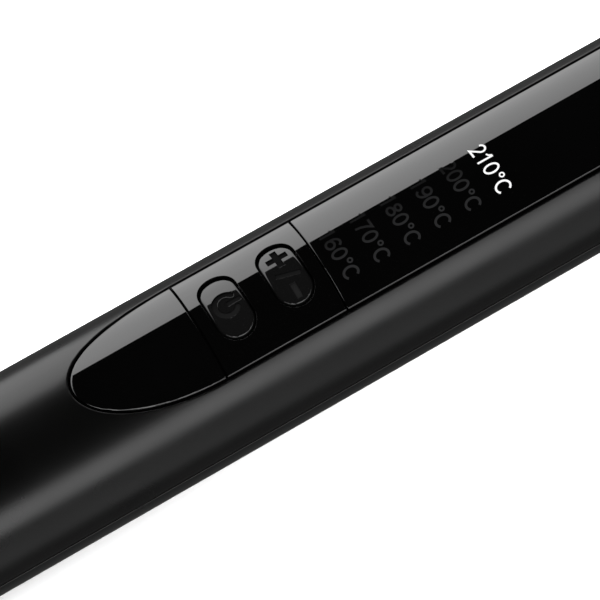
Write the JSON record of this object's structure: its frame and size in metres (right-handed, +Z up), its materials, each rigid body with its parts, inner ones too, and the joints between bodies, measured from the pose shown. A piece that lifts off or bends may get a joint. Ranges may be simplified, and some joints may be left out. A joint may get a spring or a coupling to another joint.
{
  "type": "curling iron",
  "caption": "Clip-type hair curling iron with heated barrel, sprung clamp, power and plus/minus keys, lit temperature scale, fold-out stand and swivelling cord outlet.",
  "frame": {"origin": "centre of the footprint box on the table top, under the iron lying on its stand and the heel of its handle", "axes": "+X from the cord end towards the tip, +Y to the left seen from the cord end, +Z up; the iron's own axis rises about 7.1 degrees towards +X in the XZ plane"},
  "size_m": [0.3746, 0.0456, 0.0714],
  "materials": {
    "shell_satin": "fine satin moulded black",
    "panel_gloss": "polished black",
    "display_gloss": "polished smoked black",
    "barrel_coat": "smooth dark ceramic coating",
    "bright_steel": "plain steel",
    "contact_brass": "bright brass",
    "heater_aluminium": "machined",
    "board_green": "solder-resist green",
    "component_dark": "moulded epoxy",
    "natural_plastic": "unpainted",
    "led_white": "lamp body",
    "lead_sleeve": "silicone sleeve",
    "foot_rubber": "matt rubber"
  },
  "bodies": {
    "handle": {"upper_shell": "shell_satin", "lower_shell": "shell_satin", "rear_cap": "shell_satin", "front_collar": "shell_satin", "tip_cap": "shell_satin", "tip_insulator": "shell_satin", "tail_lens": "panel_gloss", "button_panel": "panel_gloss", "display_lens": "display_gloss", "barrel": "barrel_coat", "heat_ring": "bright_steel", "clamp_bracket": "bright_steel", "clamp_pin": "bright_steel", "stand_pin_left": "bright_steel", "stand_pin_right": "bright_steel", "shell_screw_rear": "bright_steel", "shell_screw_front": "bright_steel", "collar_screw": "bright_steel", "power_switch": "bright_steel", "plus_switch": "bright_steel", "minus_switch": "bright_steel", "thermal_fuse": "bright_steel", "brush_live": "contact_brass", "brush_neutral": "contact_brass", "heater_block_upper": "heater_aluminium", "heater_block_lower": "heater_aluminium", "control_board": "board_green", "power_board": "board_green", "control_chip": "component_dark", "triac": "component_dark", "mains_capacitor": "component_dark", "thermistor": "component_dark", "light_guide": "natural_plastic", "brush_holder": "natural_plastic", "heater_element": "natural_plastic", "label_led_1": "led_white", "label_led_2": "led_white", "label_led_3": "led_white", "label_led_4": "led_white", "label_led_5": "led_white", "label_led_6": "led_white", "input_lead_live": "lead_sleeve", "input_lead_neutral": "lead_sleeve", "heater_lead_live": "lead_sleeve", "heater_lead_neutral": "lead_sleeve"},
    "swivel": {"swivel_gland": "shell_satin", "swivel_clip": "bright_steel", "slip_ring_live": "contact_brass", "slip_ring_neutral": "contact_brass"},
    "power_key": {"power_button": "panel_gloss"},
    "rocker_key": {"rocker_button": "panel_gloss"},
    "clamp": {"clamp_spoon": "barrel_coat", "thumb_lever": "shell_satin", "clamp_spring": "bright_steel"},
    "stand": {"stand_bail": "shell_satin", "stand_foot": "foot_rubber"}
  },
  "joints": [
    {"name": "cord_swivel", "type": "hinge", "parent": "handle", "child": "swivel", "pos_m": [-0.15671, 0, 0.0166], "axis": [0.9922, 0, 0.1243], "continuous": true},
    {"name": "power_press", "type": "slide", "parent": "handle", "child": "power_key", "axis": [0.1243, 0, -0.9922], "range_m": [0, 0.0005], "stiffness_N_per_m": 2000, "springref_m": -0.0002},
    {"name": "rocker_tilt", "type": "hinge", "parent": "handle", "child": "rocker_key", "pos_m": [-0.07682, 0.0003, 0.04021], "axis": [0.9922, 0, 0.1243], "range_deg": [-3, 3], "stiffness_Nm_per_rad": 0.1},
    {"name": "clamp_open", "type": "hinge", "parent": "handle", "child": "clamp", "pos_m": [0.0325, 0, 0.05894], "axis": [0, -1, 0], "range_deg": [0, 20], "stiffness_Nm_per_rad": 0.35, "springref_deg": -28.65},
    {"name": "stand_fold", "type": "hinge", "parent": "handle", "child": "stand", "pos_m": [0.01793, 0, 0.03847], "axis": [0, 1, 0], "range_deg": [0, 60]}
  ]
}
